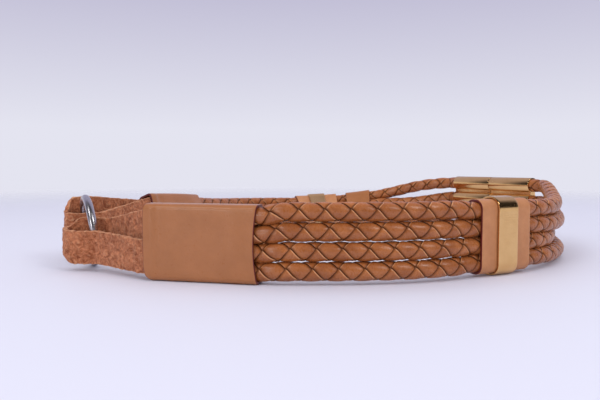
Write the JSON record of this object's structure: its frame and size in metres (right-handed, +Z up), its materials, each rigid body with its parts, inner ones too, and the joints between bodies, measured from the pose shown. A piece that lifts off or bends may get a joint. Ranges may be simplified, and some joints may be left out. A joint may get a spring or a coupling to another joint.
{
  "type": "leather belt",
  "caption": "Braided leather cord belt closed in a loop: two cord straps with suede ends through a steel ring, leather wraps and cuffs, gilt bands and a magnetic brass clasp.",
  "frame": {"origin": "under the middle of the fastened loop, at the surface on which its lower edges rest", "axes": "+X along the front strap from ring to clasp, +Y from the front strap to the back strap, +Z up across the strap's width"},
  "size_m": [0.2962, 0.2582, 0.0441],
  "materials": {
    "braided_leather": "glossy plaited strands",
    "smooth_leather": "smooth, softly glossy",
    "cuff_leather": "smooth with painted raw edges",
    "packing_leather": "raw",
    "suede": "napped suede",
    "gilt_brass": "polished gilt with fine scratches",
    "polished_steel": "polished",
    "plated_magnet": "plated"
  },
  "bodies": {
    "front_half": {"front_clasp_half": "gilt_brass", "front_cord_1": "braided_leather", "front_cord_2": "braided_leather", "front_cord_3": "braided_leather", "front_cord_4": "braided_leather", "front_cuff": "cuff_leather", "front_gilt_band": "gilt_brass", "front_magnet_1": "plated_magnet", "front_magnet_2": "plated_magnet", "front_magnet_3": "plated_magnet", "front_magnet_4": "plated_magnet", "front_packing": "packing_leather", "front_suede_strap": "suede", "front_wrap": "smooth_leather"},
    "ring": {"ring": "polished_steel"},
    "back_half": {"back_binding": "smooth_leather", "back_clasp_half": "gilt_brass", "back_cord_1": "braided_leather", "back_cord_2": "braided_leather", "back_cord_3": "braided_leather", "back_cord_4": "braided_leather", "back_cuff": "cuff_leather", "back_gilt_band": "gilt_brass", "back_magnet_1": "plated_magnet", "back_magnet_2": "plated_magnet", "back_magnet_3": "plated_magnet", "back_magnet_4": "plated_magnet", "back_packing": "packing_leather", "back_suede_strap": "suede", "back_wrap": "smooth_leather"}
  },
  "joints": [
    {"name": "ring_turn", "type": "hinge", "parent": "front_half", "child": "ring", "pos_m": [-0.12365, -0.0893, 0.0187], "axis": [0, 0, 1], "range_deg": [0, 30]},
    {"name": "back_half_swing", "type": "hinge", "parent": "ring", "child": "back_half", "pos_m": [-0.13873, -0.05905, 0.0187], "axis": [0, 0, 1], "range_deg": [0, 25]}
  ]
}
